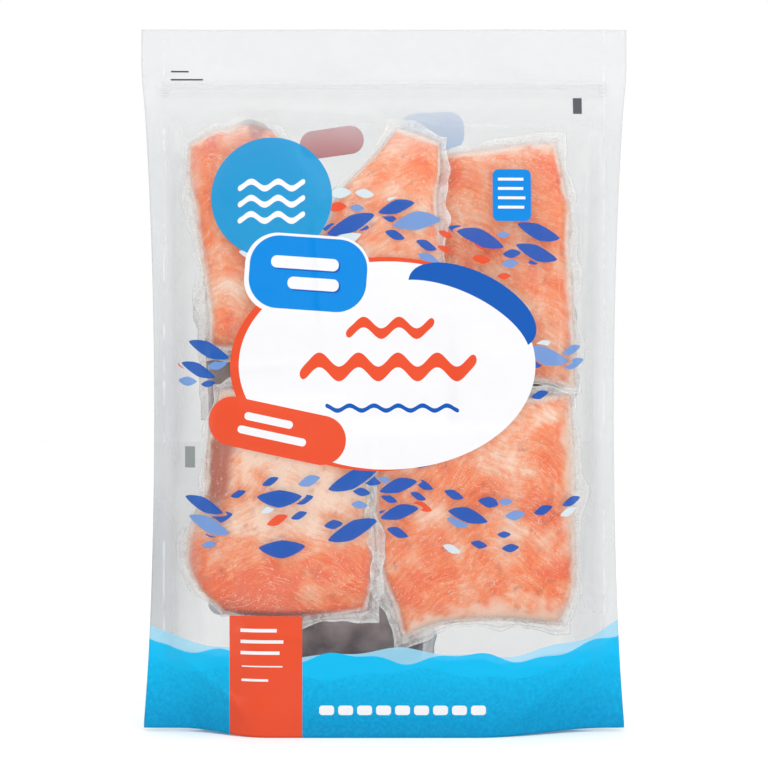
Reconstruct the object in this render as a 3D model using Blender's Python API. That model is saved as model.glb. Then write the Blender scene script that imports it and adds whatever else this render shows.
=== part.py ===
"""Stand-up pouch of salmon fillet portions, filled, sealed and standing on its bottom gusset.

Metres, +Z up. The pouch stands on z = 0, centred on x = 0 and y = 0, with its front towards -Y.
Run it with blender --background --python part.py, or from the text editor.
"""

import math

import bmesh
import bpy

# The flat pouch
POUCH_WIDTH = 0.240
POUCH_HEIGHT = 0.347
FILM_HALF_THICKNESS = 0.0006
SIDE_SEAL_WIDTH = 0.010
WAIST_NARROWING = 0.0063
HEADER_START = 0.322

# The filled body
BELLY_DEPTH = 0.0215
BELLY_HEIGHT = 0.035
CONTENTS_TOP = 0.314
TAPER_POWER = 3.2
TAPER_ROUNDNESS = 0.62
SIDE_POWER = 4.0
SIDE_ROUNDNESS = 0.5

# The press-to-close zip under the header
ZIP_LOW = 0.3145
ZIP_HIGH = 0.3205
ZIP_PROUD = 0.0009
ZIP_SHOULDER = 0.0009
ZIP_END = 0.113

# The bottom gusset, whose lower rim is the foot of the pouch
RIM_DEPTH = 0.0240
CORNER_DEPTH = 0.0016
CORNER_LIFT = 0.0018
RIM_LEFT = (-0.100, -0.058)
RIM_RIGHT = (0.046, 0.110)
FOOT_HEIGHT = 0.055
RIM_WIDTH = 0.0022
GROOVE_IN = 0.0050
GROOVE_RISE = 0.0024
GUSSET_BELLY_IN = 0.0090
GUSSET_OPEN_DEPTH = 0.012

# The portions that press on the panels: centre x and z, width, height, and lean in degrees
FRONT_PORTIONS = (
    (-0.066, 0.245, 0.058, 0.108, 3.0),
    (0.000, 0.245, 0.053, 0.098, -3.0),
    (0.0625, 0.233, 0.063, 0.112, -1.5),
    (0.046, 0.104, 0.096, 0.104, 2.0),
    (-0.052, 0.114, 0.083, 0.107, 0.0),
)
BACK_PORTIONS = (
    (-0.039, 0.208, 0.094, 0.100, 0.0),
    (0.050, 0.203, 0.076, 0.100, 0.0),
    (-0.024, 0.093, 0.088, 0.122, 0.0),
)
PORTION_RELIEF = 0.0026
PORTION_SHOULDER = 0.014

# The gaps round a layer's portions, down to the other layer's portions where any lie there
BACKED_GAP_DEPTH = 0.0020
OPEN_GAP_SHARE = 0.60
GAP_WALL = 0.0080
GAPS_CENTRE = (-0.002, 0.166)
GAPS_REACH = (0.083, 0.122)
GAPS_FADE = 0.012

# How finely the panels are divided, closer across the gap between the two lower portions
LOWER_GAP = (-0.0130, -0.0010)
LEFT_COLUMNS = 19
GAP_COLUMNS = 4
RIGHT_COLUMNS = 20
BODY_ROWS = 46
HEADER_ROWS = 3

FILM_COLOUR = (0.62, 0.42, 0.37, 1.0)
FILM_ROUGHNESS = 0.3


def ease(value):
    """A smooth step from 0 to 1."""
    value = min(max(value, 0.0), 1.0)
    return value * value * (3.0 - 2.0 * value)


def half_width(z):
    """Half the pouch's width: full at the header and the foot, drawn in where the body bulges."""
    if z >= HEADER_START:
        return POUCH_WIDTH / 2
    bulge = math.sin(math.pi * (z + 0.010) / (HEADER_START + 0.010))
    return POUCH_WIDTH / 2 - WAIST_NARROWING * bulge ** 0.7


def belly_depth(z):
    """Depth from the middle plane to either panel, along the pouch's centre line."""
    rise = (z - BELLY_HEIGHT) / (CONTENTS_TOP - BELLY_HEIGHT)
    rise = min(max(rise, 0.0), 1.0)
    return BELLY_DEPTH * (1.0 - rise ** TAPER_POWER) ** TAPER_ROUNDNESS


def across_belly(x, z):
    """Share of the belly's depth that is left at x, zero at the inner edge of a side seal."""
    reach = half_width(z) - SIDE_SEAL_WIDTH
    share = min(abs(x) / reach, 1.0)
    return (1.0 - share ** SIDE_POWER) ** SIDE_ROUNDNESS


def rim_depth(x):
    """Depth of the foot's rim at x: together at the corners, spread along the middle."""
    left = ease((x - RIM_LEFT[0]) / (RIM_LEFT[1] - RIM_LEFT[0]))
    right = ease((RIM_RIGHT[1] - x) / (RIM_RIGHT[1] - RIM_RIGHT[0]))
    return CORNER_DEPTH + (RIM_DEPTH - CORNER_DEPTH) * min(left, right)


def corner_lift(x):
    """Height of the foot's edge: the pouch rests on the middle and its corners curl up."""
    spread = (rim_depth(x) - CORNER_DEPTH) / (RIM_DEPTH - CORNER_DEPTH)
    return CORNER_LIFT * (1.0 - spread)


def over_portions(x, z, portions, shoulder):
    """How surely a place lies over a portion, from 0 to 1 across the portion's shoulder."""
    over = 0.0
    for centre_x, centre_z, width, height, lean in portions:
        turn = math.radians(lean)
        along = (x - centre_x) * math.cos(turn) + (z - centre_z) * math.sin(turn)
        up = (z - centre_z) * math.cos(turn) - (x - centre_x) * math.sin(turn)
        inside = min(width / 2 - abs(along), height / 2 - abs(up))
        over = max(over, ease(inside / shoulder + 0.5))
    return over


def zip_relief(x, z):
    """The rounded ridge of the zip."""
    if abs(x) > ZIP_END:
        return 0.0
    inside = min(z - ZIP_LOW, ZIP_HIGH - z)
    return ZIP_PROUD * ease(inside / ZIP_SHOULDER)


def panel_depth(x, z, portions):
    """Depth of a panel from the middle plane."""
    belly = belly_depth(z)
    share = across_belly(x, z)
    over = over_portions(x, z, portions, PORTION_SHOULDER)
    body = belly * share + PORTION_RELIEF * over * min(share, belly / BELLY_DEPTH)
    foot = rim_depth(x)
    depth = foot + (body - foot) * ease(z / FOOT_HEIGHT)
    return max(depth, FILM_HALF_THICKNESS) + zip_relief(x, z)


def sunk_depth(x, z, portions, behind):
    """Depth of a panel that sinks into the gaps round its portions."""
    depth = panel_depth(x, z, portions)
    backed = over_portions(x, z, behind, GAP_WALL)
    floor = BACKED_GAP_DEPTH * backed + OPEN_GAP_SHARE * depth * (1.0 - backed)
    inside = min(
        GAPS_REACH[0] - abs(x - GAPS_CENTRE[0]),
        GAPS_REACH[1] - abs(z - GAPS_CENTRE[1]),
    )
    gap = ease(inside / GAPS_FADE + 0.5) * (1.0 - over_portions(x, z, portions, GAP_WALL))
    return depth + (min(floor, depth) - depth) * gap


def front_depth(x, z):
    """Depth of the front panel, with deep gaps where the back layer shows."""
    return sunk_depth(x, z, FRONT_PORTIONS, BACK_PORTIONS)


def back_depth(x, z):
    """Depth of the back panel, whose film hangs in where the back layer has no portion."""
    return sunk_depth(x, z, BACK_PORTIONS, ())


def column_places():
    """Shares of the half width at which the panel's columns lie, from -1 to 1."""
    start, end = (edge / (POUCH_WIDTH / 2) for edge in LOWER_GAP)
    places = [-1.0 + (start + 1.0) * column / LEFT_COLUMNS for column in range(LEFT_COLUMNS)]
    places += [start + (end - start) * column / GAP_COLUMNS for column in range(GAP_COLUMNS)]
    places += [end + (1.0 - end) * column / RIGHT_COLUMNS for column in range(RIGHT_COLUMNS + 1)]
    return places


def row_heights():
    """Heights of the panel's rows: even up the body, then close together at the zip."""
    rows = [ZIP_LOW * row / BODY_ROWS for row in range(BODY_ROWS + 1)]
    rows += [ZIP_LOW + ZIP_SHOULDER, ZIP_HIGH - ZIP_SHOULDER, ZIP_HIGH]
    header = POUCH_HEIGHT - ZIP_HIGH
    rows += [ZIP_HIGH + header * row / HEADER_ROWS for row in range(1, HEADER_ROWS + 1)]
    return rows


def add_panel(mesh, side, depth_at):
    """A grid drawn to the front (side -1) or back (side 1) panel. Returns its outer edges."""
    rows, columns = row_heights(), column_places()
    steps = (len(columns) - 1, len(rows) - 1)
    grid = bmesh.ops.create_grid(mesh, x_segments=steps[0], y_segments=steps[1], size=1.0)
    for vertex in grid["verts"]:
        z = rows[round((vertex.co.y + 1.0) / 2 * steps[1])]
        x = columns[round((vertex.co.x + 1.0) / 2 * steps[0])] * half_width(z)
        lift = corner_lift(x) * (1.0 - ease(z / FOOT_HEIGHT))
        vertex.co = (x, side * depth_at(x, z), z + lift)
    edges = {edge for vertex in grid["verts"] for edge in vertex.link_edges}
    return [edge for edge in edges if edge.is_boundary]


def open_gusset(mesh, foot_edges):
    """Divide the strip under the pouch and press it to a rim, a groove and a resting belly."""
    wide = [edge for edge in foot_edges if edge.calc_length() > 2 * GUSSET_OPEN_DEPTH]
    offsets = (RIM_WIDTH, GROOVE_IN, GUSSET_BELLY_IN)
    divided = bmesh.ops.subdivide_edges(mesh, edges=wide, cuts=2 * len(offsets), use_grid_fill=True)
    inner = [item for item in divided["geom_inner"] if isinstance(item, bmesh.types.BMVert)]
    steps = 2 * len(offsets) + 1
    for vertex in inner:
        depth = rim_depth(vertex.co.x)
        side = math.copysign(1.0, vertex.co.y)
        place = round((1.0 - abs(vertex.co.y) / depth) / 2 * steps) - 1
        vertex.co.y = side * (depth - offsets[place] * depth / RIM_DEPTH)
        if offsets[place] == GROOVE_IN:
            opened = (depth - GUSSET_OPEN_DEPTH) / (RIM_DEPTH - GUSSET_OPEN_DEPTH)
            vertex.co.z += GROOVE_RISE * opened


def pouch_material():
    """Clear film over orange flesh, in one colour."""
    material = bpy.data.materials.new("printed_film_pouch")
    material.use_nodes = True
    shader = material.node_tree.nodes["Principled BSDF"]
    shader.inputs["Base Color"].default_value = FILM_COLOUR
    shader.inputs["Roughness"].default_value = FILM_ROUGHNESS
    shader.inputs["Metallic"].default_value = 0.0
    return material


def make_pouch():
    """The front and back panels, joined down the side seals, along the top and under the foot."""
    mesh = bmesh.new()
    front = add_panel(mesh, -1.0, front_depth)
    back = add_panel(mesh, 1.0, back_depth)
    joined = bmesh.ops.bridge_loops(mesh, edges=front + back)
    foot_edges = {
        edge
        for face in joined["faces"]
        for edge in face.edges
        if max(vertex.co.z for vertex in edge.verts) < 2 * CORNER_LIFT
        and edge.verts[0].co.y * edge.verts[1].co.y < 0
    }
    open_gusset(mesh, foot_edges)
    bmesh.ops.recalc_face_normals(mesh, faces=mesh.faces)
    depths = [vertex.co.y for vertex in mesh.verts]
    middle = (min(depths) + max(depths)) / 2
    bmesh.ops.translate(mesh, vec=(0.0, -middle, 0.0), verts=mesh.verts)

    data = bpy.data.meshes.new("pouch")
    mesh.to_mesh(data)
    mesh.free()
    data.materials.append(pouch_material())
    data.shade_smooth()
    data.set_sharp_from_angle(angle=math.radians(50))
    pouch = bpy.data.objects.new("pouch", data)
    bpy.context.scene.collection.objects.link(pouch)
    return pouch


for leftover in list(bpy.data.objects):
    bpy.data.objects.remove(leftover, do_unlink=True)
make_pouch()
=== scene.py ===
import math
import random

import bmesh
import bpy
import numpy as np
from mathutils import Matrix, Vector, noise
from mathutils.bvhtree import BVHTree


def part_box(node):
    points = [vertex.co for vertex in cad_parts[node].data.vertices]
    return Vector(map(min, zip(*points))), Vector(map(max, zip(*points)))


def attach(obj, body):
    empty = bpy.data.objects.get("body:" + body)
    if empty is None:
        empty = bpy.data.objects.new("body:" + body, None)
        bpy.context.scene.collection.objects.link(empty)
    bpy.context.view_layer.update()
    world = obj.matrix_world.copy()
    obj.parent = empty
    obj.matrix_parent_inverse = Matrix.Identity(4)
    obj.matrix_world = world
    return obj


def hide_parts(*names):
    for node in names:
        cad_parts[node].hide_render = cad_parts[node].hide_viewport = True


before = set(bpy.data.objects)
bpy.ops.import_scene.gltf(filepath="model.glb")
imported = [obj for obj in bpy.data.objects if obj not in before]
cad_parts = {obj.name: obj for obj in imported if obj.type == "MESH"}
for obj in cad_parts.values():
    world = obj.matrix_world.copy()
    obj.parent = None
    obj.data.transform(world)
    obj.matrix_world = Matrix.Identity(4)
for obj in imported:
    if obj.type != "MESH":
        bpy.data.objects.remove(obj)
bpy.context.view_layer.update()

# Salmon portions
# Eight portions cut from skin-on fillets of pink salmon and frozen stiff. Five lie with their flesh to
# the front and three behind them with their skin to the front. Cut ends are square, flanks are rounder.

# They fill the pouch out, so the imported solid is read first, as depths of its front and back from its
# middle plane. The film is taut over the gaps between the portions, and those are spanned.
MM = 0.001
FRONT, BACK = -1, 1
READ_PITCH = 1.25 * MM
FACET_BLUR = 10
GAP_SPAN = 22 * MM
FIN_DEPTH = 0.6 * MM
EDGE_SLIVER = 0.001
POUCH_LOW, POUCH_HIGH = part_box("pouch")

packed = BVHTree.FromObject(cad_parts["pouch"], bpy.context.evaluated_depsgraph_get())
read_x = np.arange(POUCH_LOW.x, POUCH_HIGH.x + READ_PITCH, READ_PITCH)
read_z = np.arange(0.0, POUCH_HIGH.z + READ_PITCH, READ_PITCH)


def spanned(depths, cells):
    """The depths of a sheet drawn over dips that are narrower than twice as many cells."""
    sheet = np.pad(depths, cells)
    for pick in (np.maximum, np.minimum):
        for _ in range(cells):
            sheet[1:-1] = pick(pick(sheet[:-2], sheet[1:-1]), sheet[2:])
            sheet[:, 1:-1] = pick(pick(sheet[:, :-2], sheet[:, 1:-1]), sheet[:, 2:])
    return np.maximum(sheet[cells:-cells, cells:-cells], depths)


def read_panel(side):
    """Depths of the front or back panel, one row for each height."""
    depths = np.full((len(read_z), len(read_x)), np.nan)
    for row, z in enumerate(read_z):
        for column, x in enumerate(read_x):
            hit = packed.ray_cast(Vector((x, side, z)), Vector((0, -side, 0)))[0]
            if hit is not None:
                depths[row, column] = side * hit.y
    for column in depths.T:
        known = np.flatnonzero(~np.isnan(column))
        if known.size:
            column[:known[0]] = column[known[0]]
    depths = spanned(np.nan_to_num(depths, nan=FIN_DEPTH), round(GAP_SPAN / READ_PITCH))
    for _ in range(FACET_BLUR):
        wide = np.pad(depths, 1, mode="edge")
        beside = wide[1:-1, :-2] + wide[1:-1, 2:] + wide[:-2, 1:-1] + wide[2:, 1:-1]
        depths = (beside + 4 * depths) / 8
    return depths


panel_depths = {side: read_panel(side) for side in (FRONT, BACK)}


def panel_depth(x, z, side):
    """Depth of a panel at any places, worked out between those that were read."""
    across = np.clip((x - read_x[0]) / READ_PITCH, 0, len(read_x) - 1 - EDGE_SLIVER)
    up = np.clip((z - read_z[0]) / READ_PITCH, 0, len(read_z) - 1 - EDGE_SLIVER)
    column, row = across.astype(int), up.astype(int)
    along, above = across - column, up - row
    depths = panel_depths[side]
    lower = depths[row, column] * (1 - along) + depths[row, column + 1] * along
    upper = depths[row + 1, column] * (1 - along) + depths[row + 1, column + 1] * along
    return lower * (1 - above) + upper * above


def ease(value):
    """A smooth step from 0 to 1."""
    value = np.clip(value, 0, 1)
    return value * value * (3 - 2 * value)


# A portion's sides are places in mm, across the pouch and up it, from corner to corner. thick is in mm
# too, and side is the panel that it lies behind. sink is how far its left and right edges lie behind the
# film, under what overlaps them. chevron is the share of its width at which its flakes meet. warmth is
# how orange its bottom and top are, and the shares of its height between which one turns into the other.
# fat is how wide the cream band is on its left, right, bottom and top. stains are patches of brown dark
# meat: a place across and up, and half a width and height.
PORTIONS = {
    "upper_left": {
        "left": ((-85, 190), (-85, 206), (-89, 234), (-93, 259), (-96, 273), (-96, 289)),
        "right": ((-32, 191), (-30, 222), (-35, 261), (-49, 290), (-59, 300)),
        "bottom": ((-85, 190), (-60, 188), (-32, 191)),
        "top": ((-96, 289), (-84, 296), (-77, 297), (-67, 302), (-59, 300)),
        "thick": 15, "sink": (0, 11), "side": FRONT, "chevron": 0.2,
        "warmth": (0.44, 0.56, 0.1, 0.7), "fat": (3, 3, 3, 3),
        "stains": ((-63, 297, 4, 6),),
    },
    "upper_middle": {
        "left": ((-30, 196), (-32, 227), (-28, 251), (-18, 269), (-4, 284), (6, 297)),
        "right": ((27, 196), (27, 231), (25, 261), (27, 277), (27, 290)),
        "bottom": ((-30, 196), (0, 194), (27, 196)),
        "top": ((6, 297), (17, 294), (27, 290)),
        "thick": 11, "sink": (0, 0), "side": FRONT, "chevron": 0.8,
        "warmth": (0.42, 0.42, 0.1, 0.7), "fat": (2, 2, 2, 4),
    },
    "upper_right": {
        "left": ((12, 186), (12, 237), (16, 282)),
        "right": ((93, 171), (92, 213), (90, 239), (91, 255), (89, 266), (87, 276), (84, 290)),
        "bottom": ((12, 186), (60, 177), (93, 171)),
        "top": ((16, 282), (34, 285), (52, 287), (67, 289), (84, 290)),
        "thick": 14, "sink": (13, 0), "side": FRONT, "chevron": 0.3,
        "warmth": (0.48, 0.54, 0.1, 0.7), "fat": (6, 4, 2, 5),
    },
    "lower_right": {
        "left": ((10, 48), (6, 62), (-1, 80), (-3, 92), (-4, 125), (-2, 152)),
        "right": ((86, 54), (93, 72), (93, 106), (93, 130), (91, 166)),
        "bottom": ((10, 48), (27, 55), (56, 57), (86, 54)),
        "top": ((-2, 152), (40, 160), (91, 166)),
        "thick": 17, "sink": (0, 0), "side": FRONT, "chevron": 0.55,
        "warmth": (0.68, 0.50, 0.1, 0.7), "fat": (3, 6, 11, 2),
    },
    "lower_left": {
        "left": ((-78, 60), (-91, 72), (-97, 86), (-93, 106), (-87, 118), (-86, 140), (-80, 168)),
        "right": ((-9, 62), (-5, 86), (-8, 125), (-12, 164)),
        "bottom": ((-78, 60), (-60, 58), (-38, 58), (-9, 62)),
        "top": ((-80, 168), (-44, 171), (-12, 164)),
        "thick": 17, "sink": (0, 0), "side": FRONT, "chevron": 0.4,
        "warmth": (0.98, 0.15, 0.16, 0.44), "fat": (3, 2, 1, 5),
        "stains": ((-79, 128, 8, 17), (-50, 59, 32, 3)),
    },
    "behind_lower": {
        "left": ((-66, 34), (-69, 90), (-68, 150)),
        "right": ((18, 36), (21, 90), (18, 152)),
        "bottom": ((-66, 34), (-20, 31), (18, 36)),
        "top": ((-68, 150), (-20, 154), (18, 152)),
        "thick": 15, "sink": (4, 4), "side": BACK, "chevron": 0.5,
        "warmth": (0.5, 0.5, 0.0, 1.0), "fat": (3, 3, 3, 3),
    },
    "behind_left": {
        "left": ((-86, 159), (-88, 208), (-84, 257)),
        "right": ((8, 158), (9, 208), (7, 255)),
        "bottom": ((-86, 159), (-40, 156), (8, 158)),
        "top": ((-84, 257), (-40, 259), (7, 255)),
        "thick": 11, "sink": (0, 0), "side": BACK, "chevron": 0.4,
        "warmth": (0.5, 0.5, 0.0, 1.0), "fat": (3, 3, 3, 3),
    },
    "behind_upper": {
        "left": ((14, 154), (12, 200), (15, 250)),
        "right": ((88, 152), (90, 200), (86, 250)),
        "bottom": ((14, 154), (50, 151), (88, 152)),
        "top": ((15, 250), (50, 253), (86, 250)),
        "thick": 10, "sink": (0, 0), "side": BACK, "chevron": 0.5,
        "warmth": (0.5, 0.5, 0.0, 1.0), "fat": (3, 3, 3, 3),
    },
}
PORTION_COLUMNS, PORTION_ROWS = 72, 90
EDGE_CROWDING = 0.7
FLANK_POWER, CUT_POWER, EDGE_ROUNDNESS = 9, 14, 0.5
FILM_GAP = 1.3 * MM
WALL_GAP = 0.7 * MM
OVERLAP = 1.2 * MM
FLAKE_SPACING = 3.8 * MM
FLAKE_GROOVE = 0.22 * MM
FLAKE_SLANT = 0.55
FLAKE_BEND_SIZE, FLAKE_BEND = 30 * MM, 7 * MM
LUMP_SIZE, LUMP_HEIGHT = 24 * MM, 0.9 * MM
GRAIN_SIZE, GRAIN_HEIGHT = 5 * MM, 0.25 * MM
SHEET_WELD = 0.01 * MM
SEED_STEPS = (7.31, 3.17, 5.53)
NOISE_FALL, NOISE_STEP = 1.0, 2.0


def along(points, share):
    """Places on a smooth curve through a side's points, as share runs from 0 to 1."""
    points = np.array(points, float) * MM
    steps = np.linalg.norm(np.diff(points, axis=0), axis=1)
    marks = np.concatenate(([0], np.cumsum(steps))) / steps.sum()
    ends = (2 * points[0] - points[1], 2 * points[-1] - points[-2])
    through = np.vstack((ends[0], points, ends[1]))
    place = np.clip(np.searchsorted(marks, share, side="right") - 1, 0, len(points) - 2)
    part = ((share - marks[place]) / (marks[place + 1] - marks[place]))[:, None]
    a, b, c, d = (through[place + step] for step in range(4))
    bend = (2 * a - 5 * b + 4 * c - d) * part**2 + (3 * b - a - 3 * c + d) * part**3
    return b + ((c - a) * part + bend) / 2


def on_portion(portion, s, t):
    """Places on a portion's outline, filled between its four sides; s runs across and t runs up."""
    left, right = along(portion["left"], t), along(portion["right"], t)
    bottom, top = along(portion["bottom"], s), along(portion["top"], s)
    corners = [np.array(portion[way][end]) * MM for way in ("left", "right") for end in (0, -1)]
    s, t = s[:, None], t[:, None]
    low = corners[0] * (1 - s) + corners[2] * s
    high = corners[1] * (1 - s) + corners[3] * s
    return left * (1 - s) + right * s + bottom * (1 - t) + top * t - low * (1 - t) - high * t


def portion_size(portion):
    """A portion's width and height, taken across its middle."""
    half = np.array((0.0, 0.5, 1.0))
    mid = np.full(3, 0.5)
    across, up = on_portion(portion, half, mid), on_portion(portion, mid, half)
    return np.linalg.norm(across[2] - across[0]), np.linalg.norm(up[2] - up[0])


def portion_edge(s, t):
    """Share of a portion's thickness: full over most of it, and falling to nothing at its edge."""
    flank = 1 - np.abs(2 * s - 1) ** FLANK_POWER
    cut = 1 - np.abs(2 * t - 1) ** CUT_POWER
    return (np.clip(flank, 0, 1) * np.clip(cut, 0, 1)) ** EDGE_ROUNDNESS


def portion_middle(portion, s, x, z):
    """How far a portion's middle lies in front of the pouch's middle, and half its thickness there."""
    side = portion["side"]
    near, far = panel_depth(x, z, side), panel_depth(x, z, -side)
    sink = (portion["sink"][0] * (1 - s) + portion["sink"][1] * s) * MM
    room = np.maximum(near + far - sink - 2 * FILM_GAP, MM)
    half = np.minimum(portion["thick"] * MM, room) / 2
    return near - FILM_GAP - sink - half, half


def add_object(name, data):
    """Puts a mesh, a light or a camera into the scene."""
    added = bpy.data.objects.new(name, data)
    bpy.context.scene.collection.objects.link(added)
    return added


def add_shape(name, shape):
    """Puts a finished bmesh into the scene."""
    data = bpy.data.meshes.new(name)
    shape.to_mesh(data)
    shape.free()
    return add_object(name, data)


def make_pad(name, columns, rows, place):
    """Makes a closed pad of a front and a back sheet that share their outer edge.

    place turns arrays of s and t into points, for one sheet. The pad's s and t are its UV map.
    """
    shape = bmesh.new()
    layer = shape.loops.layers.uv.new("pad")
    where = {}
    outer = []
    for sheet in (FRONT, BACK):
        grid = bmesh.ops.create_grid(shape, x_segments=columns, y_segments=rows, size=1)["verts"]
        even = np.array([vertex.co[:2] for vertex in grid]) / 2 + 0.5
        crowded = 0.5 - 0.5 * np.cos(np.pi * even)
        s, t = (even * (1 - EDGE_CROWDING) + crowded * EDGE_CROWDING).T
        for vertex, point, u, v in zip(grid, place(s, t, sheet), s, t):
            vertex.co = point
            where[vertex] = (u, v)
        outer += [vertex for vertex in grid if vertex.is_boundary]
        for face in {face for vertex in grid for face in vertex.link_faces}:
            face.material_index = 0 if sheet == FRONT else 1
    for face in shape.faces:
        for loop in face.loops:
            loop[layer].uv = where[loop.vert]
    bmesh.ops.remove_doubles(shape, verts=outer, dist=SHEET_WELD)
    bmesh.ops.recalc_face_normals(shape, faces=shape.faces)
    pad = add_shape(name, shape)
    pad.data.shade_smooth()
    return pad


def rolling(places, size, seed, octaves=2):
    """Smooth random heights between about -1 and 1 over rows of places, with bumps of one size."""
    shift = Vector([seed * step for step in SEED_STEPS])
    heights = [
        noise.fractal(Vector(place) / size + shift, NOISE_FALL, NOISE_STEP, octaves)
        for place in places.tolist()
    ]
    return np.array(heights)


def flat_places(x, z):
    """Places on the pouch's middle plane, as rows."""
    return np.column_stack((x, np.zeros_like(x), z))


def flake_phase(portion, s, t, seed):
    """Counts the flakes up a portion. They meet in a chevron along the fish's middle line."""
    width, height = portion_size(portion)
    u, v = (s - portion["chevron"]) * width, t * height
    bend = rolling(np.column_stack((u, v, np.zeros_like(u))), FLAKE_BEND_SIZE, seed) * FLAKE_BEND
    return (v + FLAKE_SLANT * np.abs(u) + bend) / FLAKE_SPACING


def portion_places(portion, seed):
    """Returns the function that places a portion's two sheets."""
    width, height = portion_size(portion)

    def place(s, t, sheet):
        wide_s = s + (2 * s - 1) * OVERLAP / width
        wide_t = t + (2 * t - 1) * OVERLAP / height
        x, z = on_portion(portion, wide_s, wide_t).T
        middle, half = portion_middle(portion, s, x, z)
        flat = flat_places(x, z)
        lumps = rolling(flat, LUMP_SIZE, seed + (sheet == BACK)) * LUMP_HEIGHT
        if sheet == portion["side"]:
            outward = 1
            grooves = np.cos(2 * np.pi * flake_phase(portion, s, t, seed)) ** 8 * FLAKE_GROOVE
            relief = lumps + rolling(flat, GRAIN_SIZE, seed) * GRAIN_HEIGHT - grooves
        else:
            outward = -1
            relief = lumps
        edge = portion_edge(s, t)
        depth = middle + outward * (half + relief - LUMP_HEIGHT) * edge
        y = portion["side"] * depth
        y = np.clip(y, WALL_GAP - panel_depth(x, z, FRONT), panel_depth(x, z, BACK) - WALL_GAP)
        return np.column_stack((x, y, z))

    return place


def linear(hex_colour):
    """An sRGB hex colour as a linear RGBA value."""
    parts = [int(hex_colour[place:place + 2], 16) / 255 for place in (1, 3, 5)]
    return (*(c / 12.92 if c <= 0.04045 else ((c + 0.055) / 1.055) ** 2.4 for c in parts), 1.0)


def add_node(tree, kind, inputs=None, output=0, **settings):
    """Adds a node, sets its properties, and sets or links its inputs. Returns one of its outputs."""
    node = tree.nodes.new("ShaderNode" + kind)
    for name, value in settings.items():
        setattr(node, name, value)
    for place, value in (inputs or {}).items():
        if isinstance(value, bpy.types.NodeSocket):
            tree.links.new(value, node.inputs[place])
        else:
            node.inputs[place].default_value = value
    return node.outputs[output]


def new_material(name):
    """A material with nothing but its output."""
    material = bpy.data.materials.new(name)
    material.use_nodes = True
    tree = material.node_tree
    tree.nodes.clear()
    tree.nodes.new("ShaderNodeOutputMaterial")
    return material, tree


def finish_material(tree, surface):
    """Links a shader to the material's output."""
    tree.links.new(surface, tree.nodes["Material Output"].inputs["Surface"])


# Salmon flesh: short muscle flakes parted by pale connective lines, in soft patches from peach to
# orange, with a cream fat line at the edges and a few brown patches of dark meat. Frozen and wet with
# brine, it has a satin gloss.
FLESH_DEEP = linear("#F06326")
FLESH_MIDDLE = linear("#F5864E")
FLESH_PEACH = linear("#F4A983")
FLESH_CREAM = linear("#F9D6BE")
FLESH_LINE = linear("#FAC5A6")
FLESH_DARK = linear("#A8452F")
FLESH_FROST = linear("#F2E9E2")
FLESH_PATCH = 15 * MM
FIBRE_THICK, FIBRE_LONG = 1.5 * MM, 4.2 * MM
LINE_BREAKS = 10 * MM
FROST_GRAIN = 0.9 * MM
FINE_GRAIN = 1.6 * MM


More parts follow.
